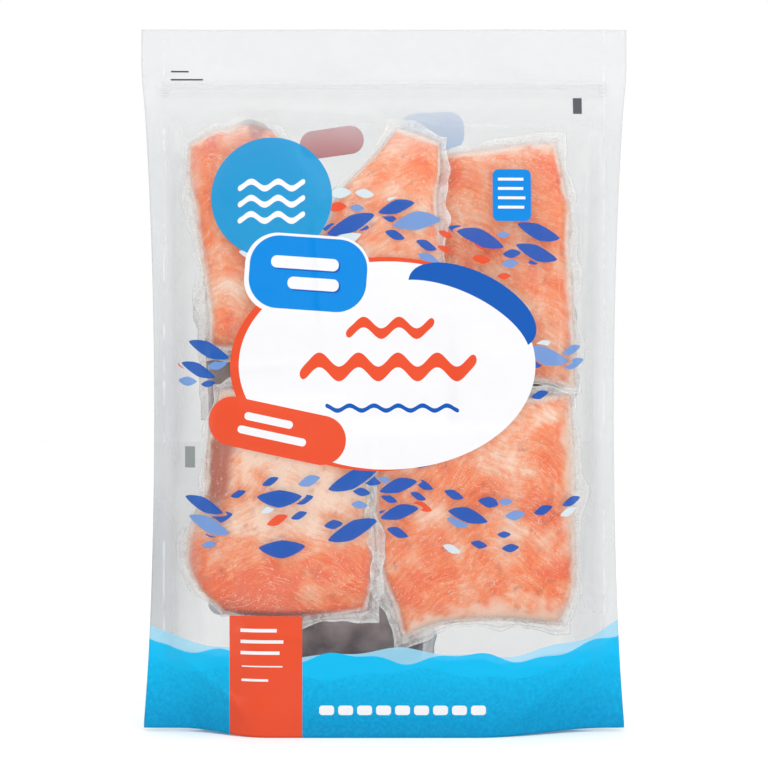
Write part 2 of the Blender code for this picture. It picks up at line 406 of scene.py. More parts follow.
def flesh_material():
    material, tree = new_material("raw_salmon_flesh_frozen")
    place = add_node(tree, "TexCoord", output=3)
    flake, across, rim, warmth, dark = [
        add_node(tree, "Attribute", attribute_name=value, output=2)
        for value in ("flake", "across", "rim", "warmth", "dark")
    ]

    patches = add_node(tree, "TexNoise", {
        "Vector": place, "Scale": 1 / FLESH_PATCH, "Detail": 4.0, "Roughness": 0.55, "Distortion": 0.6,
    })
    patches = add_node(tree, "Math", {0: patches, 1: 0.5}, operation="SUBTRACT")
    toned = add_node(tree, "Math", {0: patches, 1: 1.7, 2: warmth}, operation="MULTIPLY_ADD")

    strands = add_node(tree, "Math", {0: flake, 1: FLAKE_SPACING / FIBRE_THICK}, operation="MULTIPLY")
    runs = add_node(tree, "Math", {0: across, 1: 1 / FIBRE_LONG}, operation="MULTIPLY")
    strands = add_node(tree, "CombineXYZ", {0: runs, 1: strands})
    fibres = add_node(tree, "TexNoise", {
        "Vector": strands, "Scale": 1.0, "Detail": 3.0, "Roughness": 0.6, "Distortion": 1.1,
    })
    level = add_node(tree, "Math", {0: fibres, 1: 0.5}, operation="SUBTRACT")
    toned = add_node(tree, "Math", {0: level, 1: -0.5, 2: toned}, operation="MULTIPLY_ADD")

    turn = add_node(tree, "Math", {0: flake}, operation="FRACT")
    shaded = add_node(tree, "Math", {0: turn, 1: -0.5}, operation="ADD")
    toned = add_node(tree, "Math", {0: shaded, 1: -0.13, 2: toned}, operation="MULTIPLY_ADD")
    ramp = tree.nodes.new("ShaderNodeValToRGB")
    stops = ((0.05, FLESH_CREAM), (0.36, FLESH_PEACH), (0.62, FLESH_MIDDLE), (0.95, FLESH_DEEP))
    while len(ramp.color_ramp.elements) < len(stops):
        ramp.color_ramp.elements.new(0.5)
    for stop, (position, colour) in zip(ramp.color_ramp.elements, stops):
        stop.position = position
        stop.color = colour
    tree.links.new(toned, ramp.inputs["Fac"])

    thin = add_node(tree, "MapRange", {0: turn, 1: 0.0, 2: 0.24, 3: 1.0, 4: 0.0})
    broken_place = add_node(tree, "Mapping", {"Vector": place, "Location": (0.31, 0.17, 0.53)})
    broken = add_node(tree, "TexNoise", {"Vector": broken_place, "Scale": 1 / LINE_BREAKS, "Detail": 3.0})
    shown = add_node(tree, "MapRange", {0: broken, 1: 0.48, 2: 0.62, 3: 0.0, 4: 0.45})
    flake_lines = add_node(tree, "Math", {0: thin, 1: shown}, operation="MULTIPLY")
    fibre_lines = add_node(tree, "MapRange", {0: fibres, 1: 0.54, 2: 0.72, 3: 0.0, 4: 0.55})
    few = add_node(tree, "MapRange", {0: broken, 1: 0.38, 2: 0.54, 3: 0.25, 4: 1.0})
    fibre_lines = add_node(tree, "Math", {0: fibre_lines, 1: few}, operation="MULTIPLY")
    pale = add_node(tree, "Math", {0: fibre_lines, 1: flake_lines}, operation="MAXIMUM")

    colour = add_node(tree, "Mix", {0: pale, 6: ramp.outputs[0], 7: FLESH_LINE}, output=2, data_type="RGBA")
    colour = add_node(tree, "Mix", {0: dark, 6: colour, 7: FLESH_DARK}, output=2, data_type="RGBA")
    colour = add_node(tree, "Mix", {0: rim, 6: colour, 7: FLESH_CREAM}, output=2, data_type="RGBA")

    grains = add_node(tree, "TexNoise", {"Vector": place, "Scale": 1 / FROST_GRAIN, "Detail": 1.0})
    drift = add_node(tree, "MapRange", {0: broken, 1: 0.48, 2: 0.6, 3: 0.0, 4: 0.05})
    grains = add_node(tree, "Math", {0: grains, 1: drift}, operation="ADD")
    frost = add_node(tree, "MapRange", {0: grains, 1: 0.68, 2: 0.74, 3: 0.0, 4: 0.5})
    colour = add_node(tree, "Mix", {0: frost, 6: colour, 7: FLESH_FROST}, output=2, data_type="RGBA")

    fine = add_node(tree, "TexNoise", {"Vector": place, "Scale": 1 / FINE_GRAIN, "Detail": 3.0})
    height = add_node(tree, "Math", {0: pale, 1: -0.6, 2: fine}, operation="MULTIPLY_ADD")
    bump = add_node(tree, "Bump", {"Strength": 0.35, "Distance": 0.4 * MM, "Height": height})
    rough = add_node(tree, "MapRange", {0: fine, 1: 0.3, 2: 0.7, 3: 0.28, 4: 0.5})
    surface = add_node(tree, "BsdfPrincipled", {
        "Base Color": colour, "Roughness": rough, "Normal": bump, "IOR": 1.38,
    })
    finish_material(tree, surface)
    return material


# Salmon skin: silver grey and darker towards the fish's back, with the fine net of its scales.
SKIN_SILVER = linear("#BBA5A0")
SKIN_BACK = linear("#6E575A")
SCALE_SIZE = 1.8 * MM
SKIN_CLOUD = 22 * MM


def skin_material():
    material, tree = new_material("salmon_skin_scaled")
    place = add_node(tree, "TexCoord", output=3)
    scales = add_node(tree, "TexVoronoi", {"Vector": place, "Scale": 1 / SCALE_SIZE, "Randomness": 0.6})
    clouds = add_node(tree, "TexNoise", {"Vector": place, "Scale": 1 / SKIN_CLOUD, "Detail": 3.0})
    shade = add_node(tree, "MapRange", {0: clouds, 1: 0.38, 2: 0.62, 3: 0.0, 4: 1.0})
    colour = add_node(tree, "Mix", {0: shade, 6: SKIN_SILVER, 7: SKIN_BACK}, output=2, data_type="RGBA")
    bump = add_node(tree, "Bump", {"Strength": 0.4, "Distance": 0.3 * MM, "Height": scales})
    rough = add_node(tree, "MapRange", {0: scales, 1: 0.0, 2: 0.6, 3: 0.25, 4: 0.45})
    surface = add_node(tree, "BsdfPrincipled", {
        "Base Color": colour, "Roughness": rough, "Normal": bump, "Metallic": 0.35, "IOR": 1.4,
    })
    finish_material(tree, surface)
    return material


GLOSS_POWER, GLOSS_GAIN = 5.0, 0.85


def glossed(tree, body, bump, roughness, least):
    """Lays a thin film's gloss over a body. Both faces of the film shine alike, most at a slant."""
    slant = add_node(tree, "LayerWeight", {"Blend": 0.5, "Normal": bump}, output=1)
    steep = add_node(tree, "Math", {0: slant, 1: GLOSS_POWER}, operation="POWER")
    shine = add_node(tree, "Math", {0: steep, 1: GLOSS_GAIN, 2: least}, operation="MULTIPLY_ADD")
    gloss = add_node(tree, "BsdfGlossy", {"Color": (1, 1, 1, 1), "Roughness": roughness, "Normal": bump})
    return add_node(tree, "MixShader", {0: shine, 1: body, 2: gloss})


def plainly_shading(tree, surface, tint):
    """Gives a film a plain tint where it only shades other things, as its fine pattern casts no shadow."""
    shading = add_node(tree, "LightPath", output=1)
    plain = add_node(tree, "BsdfTransparent", {"Color": tint})
    return add_node(tree, "MixShader", {0: shading, 1: surface, 2: plain})


def set_value(piece, name, values):
    """Stores one number for each of a piece's vertices."""
    layer = piece.data.attributes.new(name, "FLOAT", "POINT")
    layer.data.foreach_set("value", np.asarray(values, np.float32))


def pad_values(piece):
    """A pad's s and t at each vertex."""
    mesh = piece.data
    corners = np.zeros(len(mesh.loops) * 2, np.float32)
    mesh.uv_layers["pad"].data.foreach_get("uv", corners)
    vertices = np.zeros(len(mesh.loops), np.int32)
    mesh.loops.foreach_get("vertex_index", vertices)
    values = np.zeros((len(mesh.vertices), 2))
    values[vertices] = corners.reshape(-1, 2)
    return values.T


PATCH_WANDER_SIZE, PATCH_WANDER = 18 * MM, 0.3
FAT_UNEVEN_SIZE, FAT_UNEVENNESS, FAT_NARROWEST = 9 * MM, 1.1, 0.1
FAT_STRENGTH = 0.85
FAT_SOLID = 2 / 7
SPOT_SIZE, SPOT_DARKNESS = 5 * MM, 0.35
SPOT_CONTRAST, SPOT_RARITY = 3.2, 1.5
STAIN_STRENGTH, STAIN_WANDER = 0.85, 0.5
STAIN_RISE, STAIN_FALL = 1.7, 1.2

flesh, skin = flesh_material(), skin_material()
for seed, (name, portion) in enumerate(PORTIONS.items()):
    piece = make_pad("salmon_" + name, PORTION_COLUMNS, PORTION_ROWS, portion_places(portion, seed))
    s, t = pad_values(piece)
    width, height = portion_size(portion)
    x, z = on_portion(portion, s, t).T
    flat = flat_places(x, z)
    wander = rolling(flat, PATCH_WANDER_SIZE, seed + 20)
    uneven = 1 + FAT_UNEVENNESS * rolling(flat, FAT_UNEVEN_SIZE, seed + 30, 3)
    inwards = (s * width, (1 - s) * width, t * height, (1 - t) * height)
    fat = [
        1 - ease((reach / (band * MM * np.maximum(uneven, FAT_NARROWEST)) - FAT_SOLID) / (1 - FAT_SOLID))
        for reach, band in zip(inwards, portion["fat"])
    ]
    low, high, start, end = portion["warmth"]
    risen = ease((t - start) / (end - start))
    set_value(piece, "flake", flake_phase(portion, s, t, seed))
    set_value(piece, "rim", FAT_STRENGTH * np.max(fat, axis=0))
    set_value(piece, "warmth", low * (1 - risen) + high * risen + PATCH_WANDER * wander)
    set_value(piece, "across", (s - portion["chevron"]) * width)
    dark = SPOT_DARKNESS * ease(rolling(flat, SPOT_SIZE, seed + 40, 3) * SPOT_CONTRAST - SPOT_RARITY)
    for stain_x, stain_z, wide, tall in portion.get("stains", ()):
        reach = np.hypot((x / MM - stain_x) / wide, (z / MM - stain_z) / tall) + STAIN_WANDER * wander
        dark = np.maximum(dark, STAIN_STRENGTH * ease(STAIN_RISE - STAIN_FALL * reach))
    set_value(piece, "dark", dark)
    for look in (flesh, skin) if portion["side"] == FRONT else (skin, flesh):
        piece.data.materials.append(look)
    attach(piece, "root")
    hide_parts("pouch")


# Vacuum sleeves
# Each portion is sealed in its own bag of thin clear nylon film, drawn tight over the fish by vacuum and
# crumpled where the two sheets meet round it. The sealed margin catches the light in sharp creases.
SLEEVE_MARGIN = 6 * MM
MARGIN_MEAN, MARGIN_SWING, MARGIN_UNEVEN_SIZE = 0.8, 0.7, 16 * MM
SLEEVE_COLUMNS, SLEEVE_ROWS = 84, 104
SLEEVE_GAP = 0.45 * MM
SHEET_LIFT = 0.05 * MM
WALL_SHARE = 0.6
TENT_REACH, TENT_FADE = 5 * MM, 30 * MM
TENT_SHARE = 0.5
LOOSE_START = 0.25
WELD_START, WELD_EASE = 0.5 * SLEEVE_MARGIN, 0.3 * SLEEVE_MARGIN
RIM_START = 0.995 * SLEEVE_MARGIN
SEAL_FORWARD = 0.75
CRUMPLE_SIZE, CRUMPLE_HEIGHT, CREASE_SHARPNESS = 13 * MM, 0.9 * MM, 2.4
TIGHT_SIZE, TIGHT_HEIGHT = 4 * MM, 0.16 * MM


def sleeve_places(portion, seed):
    """Returns the function that places a sleeve's two sheets round its portion."""
    width, height = portion_size(portion)
    middle = on_portion(portion, np.array((0.0, 1.0, 0.5, 0.5)), np.array((0.5, 0.5, 0.0, 1.0)))
    across = (middle[1] - middle[0]) / np.linalg.norm(middle[1] - middle[0])
    upward = (middle[3] - middle[2]) / np.linalg.norm(middle[3] - middle[2])

    def place(s, t, sheet):
        s = s * (1 + 2 * SLEEVE_MARGIN / width) - SLEEVE_MARGIN / width
        t = t * (1 + 2 * SLEEVE_MARGIN / height) - SLEEVE_MARGIN / height
        held_s, held_t = np.clip(s, 0, 1), np.clip(t, 0, 1)
        past_s, past_t = (s - held_s) * width, (t - held_t) * height
        flat = on_portion(portion, held_s, held_t)
        uneven = rolling(flat_places(*flat.T), MARGIN_UNEVEN_SIZE, seed + 50)
        wide = (MARGIN_MEAN + MARGIN_SWING * uneven)[:, None]
        flat = flat + wide * (past_s[:, None] * across + past_t[:, None] * upward)
        x, z = flat.T
        outside = np.maximum(np.abs(past_s), np.abs(past_t))
        inside = np.minimum(np.minimum(s, 1 - s) * width, np.minimum(t, 1 - t) * height)
        depth, half = portion_middle(portion, held_s, x, z)
        edge = portion_edge(held_s, held_t)
        tent = TENT_SHARE * ease(1 + inside / TENT_REACH) * (1 + inside / TENT_FADE)
        loose = ease(outside / TENT_REACH + LOOSE_START)
        depth = depth + SEAL_FORWARD * half * loose
        sealed = 1 - ease((outside - WELD_START) / WELD_EASE)
        lift = (half * np.clip(np.maximum(edge, tent), 0, 1) + SLEEVE_GAP) * sealed + SHEET_LIFT
        lift = lift * (outside < RIM_START)
        places = flat_places(x, z)
        creases = 1 - CREASE_SHARPNESS * np.abs(rolling(places, CRUMPLE_SIZE, seed + 60, 2))
        crumple = creases * CRUMPLE_HEIGHT * loose
        tight = rolling(places, TIGHT_SIZE, seed + 80 + sheet) * TIGHT_HEIGHT * (1 - loose)
        outward = 1 if sheet == portion["side"] else -1
        y = portion["side"] * (depth + crumple + outward * (lift + np.abs(tight) * (lift > 0)))
        limit = WALL_GAP * WALL_SHARE
        y = np.clip(y, limit - panel_depth(x, z, FRONT), panel_depth(x, z, BACK) - limit)
        return np.column_stack((x, y, z))

    return place


# Clear nylon film: almost unseen face on, bright at grazing angles, with a milky haze in its margins.
# Thin white lines of painted highlight lie along its crinkles and its cut edge.
SLEEVE_MILK = linear("#EEEEEC")
SLEEVE_SHADE = (0.92, 0.92, 0.92, 1)
SLEEVE_CRINKLE = 6 * MM


def sleeve_material():
    material, tree = new_material("clear_nylon_vacuum_film")
    place = add_node(tree, "TexCoord", output=3)
    loose = add_node(tree, "Attribute", attribute_name="loose", output=2)
    rim = add_node(tree, "Attribute", attribute_name="rim", output=2)
    crinkle = add_node(tree, "TexNoise", {
        "Vector": place, "Scale": 1 / SLEEVE_CRINKLE, "Detail": 2.0, "Roughness": 0.6, "Distortion": 1.0,
    })
    bump = add_node(tree, "Bump", {"Strength": 0.35, "Distance": 0.8 * MM, "Height": crinkle})
    # Thin white lines of milk along the crinkles: painted highlight of the creases.
    level = add_node(tree, "Math", {0: crinkle, 1: 0.5}, operation="SUBTRACT")
    level = add_node(tree, "Math", {0: level}, operation="ABSOLUTE")
    crease_highlight = add_node(tree, "MapRange", {0: level, 1: 0.0, 2: 0.035, 3: 1.0, 4: 0.0})
    strength = add_node(tree, "Math", {0: loose, 1: 0.08, 2: 0.05}, operation="MULTIPLY_ADD")
    haze = add_node(tree, "Math", {0: crease_highlight, 1: strength}, operation="MULTIPLY")
    uneven = add_node(tree, "MapRange", {0: crinkle, 1: 0.35, 2: 0.65, 3: 0.20, 4: 0.48})
    haze = add_node(tree, "Math", {0: loose, 1: uneven, 2: haze}, operation="MULTIPLY_ADD")
    # Milk at the cut edge: painted highlight.
    haze = add_node(tree, "Math", {0: rim, 1: 0.18, 2: haze}, operation="MULTIPLY_ADD")
    milk = add_node(tree, "BsdfPrincipled", {
        "Base Color": SLEEVE_MILK, "Roughness": 0.5, "Normal": bump, "Specular IOR Level": 0.0,
    })
    clear = add_node(tree, "BsdfTransparent", {"Color": (1, 1, 1, 1)})
    body = add_node(tree, "MixShader", {0: haze, 1: clear, 2: milk})
    film_look = glossed(tree, body, bump, 0.14, 0.02)
    finish_material(tree, plainly_shading(tree, film_look, SLEEVE_SHADE))
    return material


LOOSE_EASE = 3 * MM
# Width of the painted highlight along the sleeve's cut edge
CUT_EDGE = 1.2 * MM

sleeve_film = sleeve_material()
for seed, (name, portion) in enumerate(PORTIONS.items()):
    sleeve = make_pad("sleeve_" + name, SLEEVE_COLUMNS, SLEEVE_ROWS, sleeve_places(portion, seed))
    s, t = pad_values(sleeve)
    width, height = portion_size(portion)
    inside = np.minimum(
        np.minimum(s, 1 - s) * (width + 2 * SLEEVE_MARGIN),
        np.minimum(t, 1 - t) * (height + 2 * SLEEVE_MARGIN),
    )
    set_value(sleeve, "loose", 1 - ease((inside - SLEEVE_MARGIN) / LOOSE_EASE))
    # rim here is a painted highlight along the sleeve's cut edge
    set_value(sleeve, "rim", 1 - ease(inside / CUT_EDGE))
    sleeve.data.materials.append(sleeve_film)
    for face in sleeve.data.polygons:
        face.material_index = 0
    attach(sleeve, "root")
    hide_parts("pouch")


# Pouch film
# One laminated clear film, printed on its inside and folded into a front panel, a back panel and a bottom
# gusset, heat sealed down both sides and across the top. It is drawn over the portions, buckles beside
# the side seals, and stands on the rim where the gusset is sealed to the panels.
FILM_COLUMNS, FILM_ROWS = 180, 250
SEAL_HALF = 0.12 * MM
SIDE_SEAL, SEAL_EASE = 8 * MM, 6 * MM
ZIP_HEIGHT, ZIP_EASE = 317.5 * MM, 18 * MM
HEADER_START, HEADER_EASE = 4 * MM, 8 * MM
FOOT_EASE = 14 * MM
GUSSET_CUTS = 14
GUSSET_WIDE = 9 * MM
LIFT_LEAST = 2.5 * MM
FOOT_BLEND = 55 * MM
LEAST_RELIEF = -0.2 * MM
TOP_INSET, SIDE_INSET, FACE_INSET = 0.1 * MM, 0.2 * MM, 0.8 * MM

# Short folds from the side seals, in mm: how many a side, where they start, their least and most, and
# how far they lean up or down, in degrees
SIDE_BUCKLES = 13
BUCKLE_START, BUCKLE_LOWEST, BUCKLE_SPREAD = 108, 30, 270
BUCKLE_LENGTH = (12, 34)
BUCKLE_HEIGHT = (0.5, 1.3)
BUCKLE_WIDTH = (2.2, 4.5)
BUCKLE_LEAN = 55
# Longer folds: start x and z, end x and z, height and half width, in mm
FRONT_FOLDS = (
    (-100, 300, -70, 309, 0.8, 2.2),
    (-60, 309, 4, 303, 0.9, 2.4),
    (8, 304, 30, 296, 0.7, 2.0),
    (30, 296, 88, 298, 0.8, 2.2),
    (-104, 292, -101, 200, 1.1, 2.2),
    (-99, 205, -102, 110, 0.9, 2.6),
    (101, 290, 99, 190, 1.0, 2.2),
    (97, 240, 98, 60, 0.9, 2.0),
    (99, 180, 103, 70, 1.0, 2.6),
    (-92, 178, -40, 181, 0.7, 2.5),
    (-6, 150, -4, 66, 0.8, 2.2),
    (-108, 44, -62, 6, 1.2, 3.2),
    (108, 40, 60, 5, 1.2, 3.4),
    (-85, 52, -20, 46, 0.7, 2.6),
    (5, 44, 90, 47, 0.8, 2.6),
    (-30, 195, -34, 262, 0.7, 2.2),
)
# Waves of the header: height and length in mm, and phase
HEADER_WAVES = ((0.55, 95, 0.4), (0.3, 41, 1.9))
SOFT_WAVE_SIZE, SOFT_WAVE, SOFT_RISE = 34 * MM, 0.7 * MM, 0.3
FINE_WAVE_SIZE, FINE_WAVE = 9 * MM, 0.16 * MM


def half_widths():
    """Half the pouch's width at each height that was read."""
    widths = []
    for z in read_z:
        level = min(max(z, LIFT_LEAST), POUCH_HIGH.z - TOP_INSET)
        widths.append(packed.ray_cast(Vector((1, 0, level)), Vector((-1, 0, 0)))[0].x)
    return np.array(widths)


def foot_heights():
    """Height of the foot's edge at each place across that was read."""
    heights = []
    for x in read_x:
        level = min(max(x, POUCH_LOW.x + SIDE_INSET), POUCH_HIGH.x - SIDE_INSET)
        depth = panel_depth(np.array([level]), np.array([0.0]), FRONT)[0] - FACE_INSET
        hit = packed.ray_cast(Vector((level, -depth, -1)), Vector((0, 0, 1)))[0]
        heights.append(hit.z if hit is not None else heights[-1])
    return np.array(heights)


widths, lifts = half_widths(), foot_heights()


def fold_relief(x, z, folds):
    """Heights of soft ridges along lines, in metres."""
    x, z = x / MM, z / MM
    relief = np.zeros_like(x)
    for start_x, start_z, end_x, end_z, height, width in folds:
        run_x, run_z = end_x - start_x, end_z - start_z
        length = math.hypot(run_x, run_z)
        ahead = ((x - start_x) * run_x + (z - start_z) * run_z) / length**2
        aside = ((x - start_x) * run_z - (z - start_z) * run_x) / length
        fade = ease(ahead * 4) * ease((1 - ahead) * 4)
        relief += height * MM * fade * np.exp(-((aside / width) ** 2))
    return relief


def side_buckles(seed):
    """Short folds that start at the side seals and lean as chance has it."""
    chance = random.Random(seed)
    folds = []
    for side in (-1, 1):
        for buckle in range(SIDE_BUCKLES):
            x = side * BUCKLE_START
            z = BUCKLE_LOWEST + (buckle + chance.random()) * BUCKLE_SPREAD / SIDE_BUCKLES
            length = chance.uniform(*BUCKLE_LENGTH)
            lean = math.radians(chance.uniform(-BUCKLE_LEAN, BUCKLE_LEAN))
            end = (x - side * length * math.cos(lean), z + length * math.sin(lean))
            folds.append((x, z, *end, chance.uniform(*BUCKLE_HEIGHT), chance.uniform(*BUCKLE_WIDTH)))
    return folds


def film_relief(x, z, side):
    """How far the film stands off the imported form: folds, buckles and soft waves."""
    mirror = -side
    folds = [(mirror * a, b, mirror * c, d, e, f) for a, b, c, d, e, f in FRONT_FOLDS]
    relief = fold_relief(x, z, folds + side_buckles(11 + side))
    flat = flat_places(x, z)
    relief += (rolling(flat, SOFT_WAVE_SIZE, 90 + side, 2) + SOFT_RISE) * SOFT_WAVE
    relief += rolling(flat, FINE_WAVE_SIZE, 95 + side, 2) * FINE_WAVE
    return relief


def film_places(even, side):
    """Places the flat film's grid on the filled pouch."""
    u, v = even.T
    z = v * POUCH_HIGH.z
    x = u * np.interp(z, read_z, widths)
    lift = np.interp(x, read_x, lifts) * (1 - ease(z / FOOT_BLEND))
    seal = ease((np.interp(z, read_z, widths) - np.abs(x) - SIDE_SEAL) / SEAL_EASE)
    body = ease((ZIP_HEIGHT - SEAL_EASE - z) / ZIP_EASE) * seal * ease(z / FOOT_EASE)
    relief = np.maximum(film_relief(x, z, side), LEAST_RELIEF)
    depth = panel_depth(x, z, side) - FIN_DEPTH * (1 - body) + relief * body
    header = ease((z - ZIP_HEIGHT - HEADER_START) / HEADER_EASE)
    wave = sum(high * np.sin(x / (long * MM) * 2 * np.pi + phase) for high, long, phase in HEADER_WAVES)
    y = side * (np.maximum(depth, 0) + SEAL_HALF) + wave * MM * header
    return np.column_stack((x, y, z + lift))


def make_film():
    """The whole film as one closed shell: two panels, joined at the seals, and the gusset."""
    shape = bmesh.new()
    outer = []
    for look, side in enumerate((FRONT, BACK)):
        grid = bmesh.ops.create_grid(shape, x_segments=FILM_COLUMNS, y_segments=FILM_ROWS, size=1)["verts"]
        even = np.array([vertex.co[:2] for vertex in grid])
        even[:, 1] = even[:, 1] / 2 + 0.5
        for vertex, point in zip(grid, film_places(even, side)):
            vertex.co = point
        faces = {face for vertex in grid for face in vertex.link_faces}
        for face in faces:
            face.material_index = look
        outer += [edge for edge in {edge for face in faces for edge in face.edges} if edge.is_boundary]
    joined = bmesh.ops.bridge_loops(shape, edges=outer)["faces"]
    foot = [
        face for face in joined
        if max(vertex.co.z for vertex in face.verts) < LIFT_LEAST
    ]
    for face in joined:
        face.material_index = 1
    for face in foot:
        face.material_index = 2
    across = {
        edge for face in foot for edge in face.edges
        if abs(edge.verts[0].co.y - edge.verts[1].co.y) > 2 * GUSSET_WIDE
    }
    cut = bmesh.ops.subdivide_edges(shape, edges=list(across), cuts=GUSSET_CUTS, use_grid_fill=True)
    inner = [item for item in cut["geom_inner"] if isinstance(item, bmesh.types.BMVert)]
    for vertex in inner:
        hit = packed.ray_cast(Vector((vertex.co.x, vertex.co.y, -1)), Vector((0, 0, 1)))[0]
        if hit is not None:
            vertex.co.z = hit.z
    bmesh.ops.recalc_face_normals(shape, faces=shape.faces)
    film = add_shape("pouch_film", shape)
    film.data.shade_smooth()
    return film


# Print on the pouch film
# The film is gravure printed in flat inks: blues, white and orange-red, with clear film left between them.
# Every place and size of the print is in mm on the upright pouch, from the middle of its foot.
INK_SKY = linear("#018EC5")
INK_BLUE = linear("#007FD0")
INK_DEEP = linear("#0A52A8")
INK_MID = linear("#698FC7")
INK_ICE = linear("#C6D4DA")
INK_WHITE = linear("#E1E1E3")
INK_ORANGE = linear("#D94C2C")
WAVE_PALE = linear("#93CBE3")
WAVE_BRIGHT = linear("#00B1E2")
WAVE_LOW = linear("#0089BA")
# A line of waves: its height, its waves (height, length and phase), and how far it climbs at the sides
PALE_LINE = (41.2, ((1.9, 90, 1.1), (0.9, 37, 0.2)), 17)
BRIGHT_LINE = (38.8, ((2.1, 60, 3.6), (1.0, 26, 2.0)), 12)
DEEP_LINE = (31.0, ((2.2, 83, 0.4), (1.0, 33, 4.0)), 9)
CLIMB_POWER = 7
WAVE_FADE = 34
INK_SPECK = 1.6 * MM


def print_plane(tree):
    """Object coordinates laid flat on the pouch's middle plane, in mm: across, up, nothing."""
    place = add_node(tree, "TexCoord", output=3)
    place = add_node(tree, "VectorMath", {0: place, 3: 1 / MM}, operation="SCALE")
    x, _, z = add_node(tree, "SeparateXYZ", {0: place}).node.outputs
    return add_node(tree, "CombineXYZ", {0: x, 1: z}), x, z


def own_places(tree, flat, centre, turn=0.0, half=(1, 1)):
    """Flat places as a shape sees them: from its own centre, along its own sides, in its own size."""
    return add_node(tree, "Mapping", {
        "Vector": flat, "Location": (*centre, 0), "Rotation": (0, 0, math.radians(turn)), "Scale": (*half, 1),
    }, vector_type="TEXTURE")


def ellipse(tree, flat, centre, half, turn=0.0):
    """A mask that is 1 inside an ellipse."""
    own = own_places(tree, flat, centre, turn, half)
    reach = add_node(tree, "VectorMath", {0: own}, output=1, operation="LENGTH")
    return add_node(tree, "Math", {0: reach, 1: 1.0}, operation="LESS_THAN")


def patch(tree, flat, centre, half, radius, turn=0.0):
    """A mask that is 1 inside a rectangle with round corners."""
    own = own_places(tree, flat, centre, turn)
    folded = add_node(tree, "VectorMath", {0: own}, operation="ABSOLUTE")
    corner = (half[0] - radius, half[1] - radius, 1)
    past = add_node(tree, "VectorMath", {0: folded, 1: corner}, operation="SUBTRACT")
    kept = add_node(tree, "VectorMath", {0: past, 1: (0, 0, 0)}, operation="MAXIMUM")
    reach = add_node(tree, "VectorMath", {0: kept}, output=1, operation="LENGTH")
    return add_node(tree, "Math", {0: reach, 1: radius}, operation="LESS_THAN")


OUT_OF_REACH = 1000
ROUND_END = 0.98


def rows_of(tree, flat, centre, pitch, count, turn=0.0):
    """Flat places that start again at each of a column of rows, so that one shape is drawn in all."""
    own = own_places(tree, flat, centre, turn)
    across, up, _ = add_node(tree, "SeparateXYZ", {0: own}).node.outputs
    shift = 0.0 if count % 2 else pitch / 2
    row = add_node(tree, "Math", {0: up, 1: shift + pitch / 2, 2: shift - pitch / 2}, operation="WRAP")
    row = add_node(tree, "Math", {0: row, 1: shift}, operation="SUBTRACT")
    past = add_node(tree, "Math", {0: up}, operation="ABSOLUTE")
    past = add_node(tree, "Math", {0: past, 1: count * pitch / 2}, operation="GREATER_THAN")
    row = add_node(tree, "Math", {0: past, 1: OUT_OF_REACH, 2: row}, operation="MULTIPLY_ADD")
    return add_node(tree, "CombineXYZ", {0: across, 1: row})


def lines_of_type(tree, flat, centre, half, count, ragged=0.35, weight=0.3):
    """A mask for rows of bars in a rectangle, in place of lettering, with uneven right ends."""
    own = own_places(tree, flat, centre, half=half)
    across, up, _ = add_node(tree, "SeparateXYZ", {0: own}).node.outputs
    row = add_node(tree, "Math", {0: up, 1: count / 2, 2: count / 2}, operation="MULTIPLY_ADD")
    number = add_node(tree, "Math", {0: row}, operation="FLOOR")
    chance = add_node(tree, "TexWhiteNoise", {"W": number}, noise_dimensions="1D")
    end = add_node(tree, "Math", {0: chance, 1: -2 * ragged, 2: 1.0}, operation="MULTIPLY_ADD")
    within = add_node(tree, "Math", {0: across, 1: end}, operation="LESS_THAN")
    part = add_node(tree, "Math", {0: row}, operation="FRACT")
    inked = add_node(tree, "Math", {0: part, 1: 0.5, 2: weight / 2}, operation="COMPARE")
    box = patch(tree, flat, centre, half, 0.1)
    mask = add_node(tree, "Math", {0: within, 1: inked}, operation="MULTIPLY")
    return add_node(tree, "Math", {0: mask, 1: box}, operation="MULTIPLY")


def wavy_stroke(tree, flat, centre, half, swing, turns):
    """A mask that is 1 on a level wavy line: half is half its length and half its thickness."""
    own = own_places(tree, flat, centre)
    across, up, _ = add_node(tree, "SeparateXYZ", {0: own}).node.outputs
    angle = add_node(tree, "Math", {0: across, 1: math.pi * turns / half[0]}, operation="MULTIPLY")
    wave = add_node(tree, "Math", {0: angle}, operation="SINE")
    aside = add_node(tree, "Math", {0: wave, 1: -swing, 2: up}, operation="MULTIPLY_ADD")
    near = add_node(tree, "CombineXYZ", {0: across, 1: aside})
    return patch(tree, near, (0, 0), half, half[1] * ROUND_END)


def paint(tree, inks, mask, colour, solidity=1.0):
    """Lays an ink over those already there: inks is their colour and how solid they are."""
    under, cover = inks
    over = add_node(tree, "Mix", {0: mask, 6: under, 7: colour}, output=2, data_type="RGBA")
    cover = add_node(tree, "Mix", {0: mask, 2: cover, 3: solidity})
    return over, cover


def side_rise(tree, x):
    """How much the waves climb towards the side seals, from 0 to 1."""
    out = add_node(tree, "Math", {0: x, 1: POUCH_HIGH.x / MM}, operation="DIVIDE")
    out = add_node(tree, "Math", {0: out}, operation="ABSOLUTE")
    return add_node(tree, "Math", {0: out, 1: CLIMB_POWER}, operation="POWER")


def below_waves(tree, x, z, rise, base, waves, climb):
    """A mask that is 1 below a line of summed waves: each is a height, a length and a phase."""
    level = add_node(tree, "Math", {0: rise, 1: climb, 2: base}, operation="MULTIPLY_ADD")
    for high, long, phase in waves:
        angle = add_node(tree, "Math", {0: x, 1: 2 * math.pi / long, 2: phase}, operation="MULTIPLY_ADD")
        wave = add_node(tree, "Math", {0: angle}, operation="SINE")
        level = add_node(tree, "Math", {0: wave, 1: high, 2: level}, operation="MULTIPLY_ADD")
    return add_node(tree, "Math", {0: z, 1: level}, operation="LESS_THAN")


